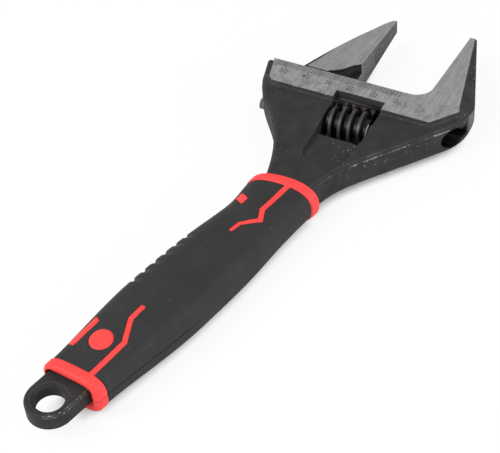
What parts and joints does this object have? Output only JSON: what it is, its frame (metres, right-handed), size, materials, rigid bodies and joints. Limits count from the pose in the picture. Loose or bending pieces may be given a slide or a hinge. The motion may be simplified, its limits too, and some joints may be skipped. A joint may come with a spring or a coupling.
{
  "type": "adjustable wrench",
  "caption": "Wide opening adjustable wrench with tapered thin jaws, a worm and rack drive, a ground millimetre scale and a two colour moulded grip with a hang hole.",
  "frame": {"origin": "axis of the hang hole at the middle of the thickness", "axes": "+X along the handle from the hang hole to the head, +Z out of the face that carries the scale, +Y to the open end of the rail"},
  "size_m": [0.2556, 0.0881, 0.0204],
  "materials": {
    "forged_steel": "black phosphate on a forging, ground bright on the scale strip and the fixed jaw",
    "ground_steel": "surface ground, fine lines along the jaw",
    "worm_steel": "machined and black oxidised",
    "pin_steel": "black oxide",
    "spring_wire": "drawn spring wire",
    "red_plastic": "satin moulded",
    "black_rubber": "matte moulded"
  },
  "bodies": {
    "wrench": {"wrench_body": "forged_steel", "worm_pin": "pin_steel", "worm_spring": "spring_wire", "grip_shell": "red_plastic", "grip_sleeve": "black_rubber"},
    "jaw": {"movable_jaw": "ground_steel"},
    "worm": {"adjusting_worm": "worm_steel"}
  },
  "joints": [
    {"name": "jaw_slide", "type": "slide", "parent": "wrench", "child": "jaw", "axis": [0.2164, -0.9763, 0], "range_m": [-0.0168, 0.033]},
    {"name": "worm_spin", "type": "hinge", "parent": "wrench", "child": "worm", "pos_m": [0.17305, 0.00395, 0], "axis": [0.2164, -0.9763, 0], "range_deg": [-2900, 1477]}
  ],
  "couplings": [
    {"joint": "worm_spin", "follows": "jaw_slide", "rad_per_m": -1532.5}
  ]
}
